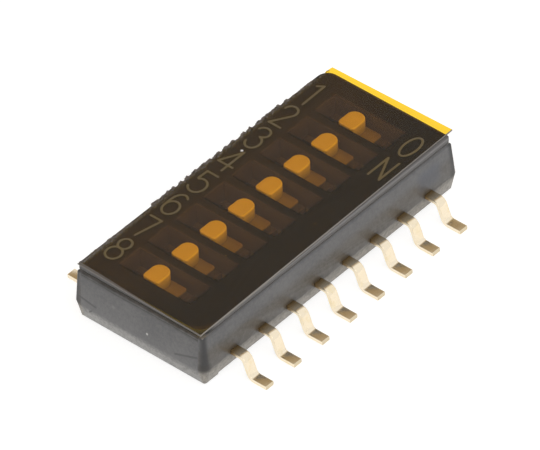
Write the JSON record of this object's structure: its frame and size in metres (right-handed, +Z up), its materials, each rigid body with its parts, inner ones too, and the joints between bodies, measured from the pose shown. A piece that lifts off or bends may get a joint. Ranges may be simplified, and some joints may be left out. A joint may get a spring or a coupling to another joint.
{
  "type": "dip switch",
  "caption": "Low half-pitch slide switch for surface mounting: black two-part housing, amber seal film, recessed sliders and gull-wing terminals.",
  "frame": {"origin": "centre of the switch on the board's surface, under the terminals' feet", "axes": "+X along the row towards position 1, +Y across the row to the number side, with ON at -Y, +Z up from the board"},
  "size_m": [0.0117, 0.008, 0.0022],
  "materials": {
    "base_plastic": "satin moulded",
    "cover_plastic": "satin moulded",
    "film": "clear amber film",
    "terminal_metal": "gold plated",
    "contact_metal": "gold plated",
    "slider_plastic": "satin moulded"
  },
  "bodies": {
    "housing": {"base": "base_plastic", "cover": "cover_plastic", "seal_film": "film", "on_terminal_1": "terminal_metal", "on_terminal_2": "terminal_metal", "on_terminal_3": "terminal_metal", "on_terminal_4": "terminal_metal", "on_terminal_5": "terminal_metal", "on_terminal_6": "terminal_metal", "on_terminal_7": "terminal_metal", "on_terminal_8": "terminal_metal", "number_terminal_1": "terminal_metal", "number_terminal_2": "terminal_metal", "number_terminal_3": "terminal_metal", "number_terminal_4": "terminal_metal", "number_terminal_5": "terminal_metal", "number_terminal_6": "terminal_metal", "number_terminal_7": "terminal_metal", "number_terminal_8": "terminal_metal"},
    "slider_body_1": {"slider_1": "slider_plastic", "contact_1": "contact_metal"},
    "slider_body_2": {"slider_2": "slider_plastic", "contact_2": "contact_metal"},
    "slider_body_3": {"slider_3": "slider_plastic", "contact_3": "contact_metal"},
    "slider_body_4": {"slider_4": "slider_plastic", "contact_4": "contact_metal"},
    "slider_body_5": {"slider_5": "slider_plastic", "contact_5": "contact_metal"},
    "slider_body_6": {"slider_6": "slider_plastic", "contact_6": "contact_metal"},
    "slider_body_7": {"slider_7": "slider_plastic", "contact_7": "contact_metal"},
    "slider_body_8": {"slider_8": "slider_plastic", "contact_8": "contact_metal"}
  },
  "joints": [
    {"name": "slide_1", "type": "slide", "parent": "housing", "child": "slider_body_1", "axis": [0, -1, 0], "range_m": [0, 0.00075]},
    {"name": "slide_2", "type": "slide", "parent": "housing", "child": "slider_body_2", "axis": [0, -1, 0], "range_m": [0, 0.00075]},
    {"name": "slide_3", "type": "slide", "parent": "housing", "child": "slider_body_3", "axis": [0, -1, 0], "range_m": [0, 0.00075]},
    {"name": "slide_4", "type": "slide", "parent": "housing", "child": "slider_body_4", "axis": [0, -1, 0], "range_m": [0, 0.00075]},
    {"name": "slide_5", "type": "slide", "parent": "housing", "child": "slider_body_5", "axis": [0, -1, 0], "range_m": [0, 0.00075]},
    {"name": "slide_6", "type": "slide", "parent": "housing", "child": "slider_body_6", "axis": [0, -1, 0], "range_m": [0, 0.00075]},
    {"name": "slide_7", "type": "slide", "parent": "housing", "child": "slider_body_7", "axis": [0, -1, 0], "range_m": [0, 0.00075]},
    {"name": "slide_8", "type": "slide", "parent": "housing", "child": "slider_body_8", "axis": [0, -1, 0], "range_m": [0, 0.00075]}
  ]
}
